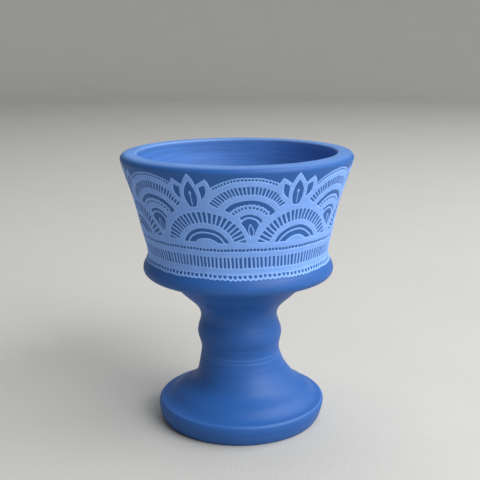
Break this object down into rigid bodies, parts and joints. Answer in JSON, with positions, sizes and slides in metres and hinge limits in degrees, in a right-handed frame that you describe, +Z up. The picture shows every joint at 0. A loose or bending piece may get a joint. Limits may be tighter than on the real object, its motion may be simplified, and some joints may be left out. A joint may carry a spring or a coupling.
{
  "type": "communion chalice",
  "caption": "Thrown clay chalice: a wide flared cup with a rolled shoulder on a short knopped stem and a spreading foot, with a lace print round the cup.",
  "frame": {"origin": "centre of the resting face under the foot", "axes": "+Z up the turning axis from the foot to the rim; -Y is the side seen from the front"},
  "size_m": [0.104, 0.104, 0.1248],
  "materials": {
    "blue_paint": "matte",
    "joining_slip": "matte",
    "lace_print": "matte"
  },
  "bodies": {
    "root": {"bowl": "blue_paint", "joint_coil": "blue_paint", "stem": "blue_paint", "foot": "blue_paint", "cup_slip": "joining_slip", "foot_slip": "joining_slip", "lace_border": "lace_print", "lace_frieze": "lace_print"}
  },
  "joints": []
}
